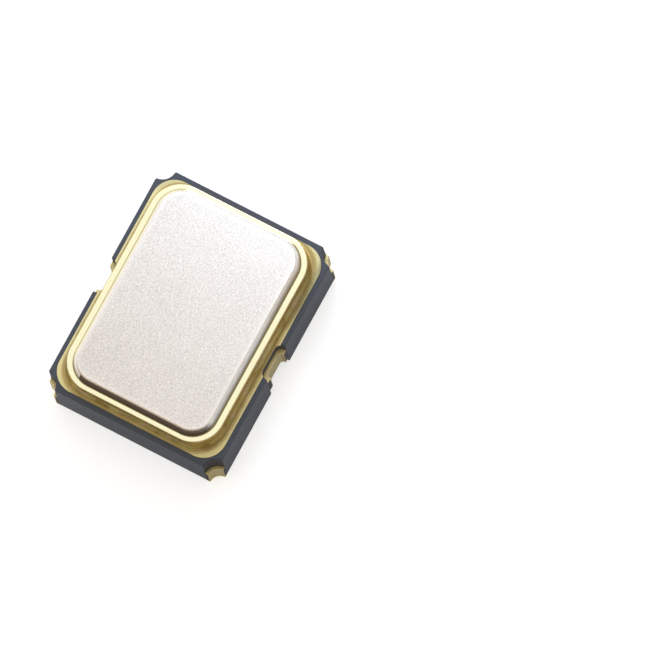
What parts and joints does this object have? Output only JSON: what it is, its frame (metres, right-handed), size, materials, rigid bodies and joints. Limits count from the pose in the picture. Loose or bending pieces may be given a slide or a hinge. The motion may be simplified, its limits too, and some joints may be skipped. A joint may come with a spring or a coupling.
{
  "type": "crystal oscillator",
  "caption": "Surface-mount crystal oscillator: stepped ceramic base with plated corner pads, brazed seal ring, welded metal lid, and the quartz blank, chip and bond wires inside.",
  "frame": {"origin": "centre of the package in plan, at the underside of the four solder pads", "axes": "+X along the package's length, away from pads 1 and 4; +Y across it, away from pads 1 and 2; +Z from the circuit board up to the lid"},
  "size_m": [0.0032, 0.0024, 0.0012],
  "materials": {
    "ceramic": "matt dark grey co-fired alumina",
    "pad_gold": "matt gold plating over nickel",
    "rim_gold": "satin gold plating over nickel",
    "braze": "gold-plated silver-copper braze",
    "ring_gold": "bright gold plating over an iron-nickel-cobalt ring",
    "lid_nickel": "fine-grained matt nickel plating",
    "track_gold": "gold-plated tungsten print",
    "tungsten": "sintered tungsten",
    "silver_paste": "silver-filled adhesive",
    "silicon": "polished silicon",
    "aluminium": "bright aluminium",
    "wire_gold": "bright gold wire",
    "quartz": "clear lapped quartz",
    "silver_film": "evaporated silver"
  },
  "bodies": {
    "root": {"ceramic_base": "ceramic", "enable_terminal": "pad_gold", "ground_terminal": "pad_gold", "output_terminal": "pad_gold", "supply_terminal": "pad_gold", "front_side_contact": "rim_gold", "back_side_contact": "rim_gold", "seal_metallization": "rim_gold", "braze_joint": "braze", "seal_ring": "ring_gold", "lid": "lid_nickel", "enable_track": "track_gold", "ground_track": "track_gold", "output_track": "track_gold", "supply_track": "track_gold", "front_crystal_track": "track_gold", "back_crystal_track": "track_gold", "ground_via": "tungsten", "front_crystal_pad": "track_gold", "back_crystal_pad": "track_gold", "chip_paddle": "track_gold", "chip_adhesive": "silver_paste", "oscillator_chip": "silicon", "chip_pads": "aluminium", "enable_wire": "wire_gold", "ground_wire": "wire_gold", "output_wire": "wire_gold", "supply_wire": "wire_gold", "front_crystal_wire": "wire_gold", "back_crystal_wire": "wire_gold", "front_crystal_adhesive": "silver_paste", "back_crystal_adhesive": "silver_paste", "quartz_blank": "quartz", "upper_electrode": "silver_film", "lower_electrode": "silver_film"}
  },
  "joints": []
}
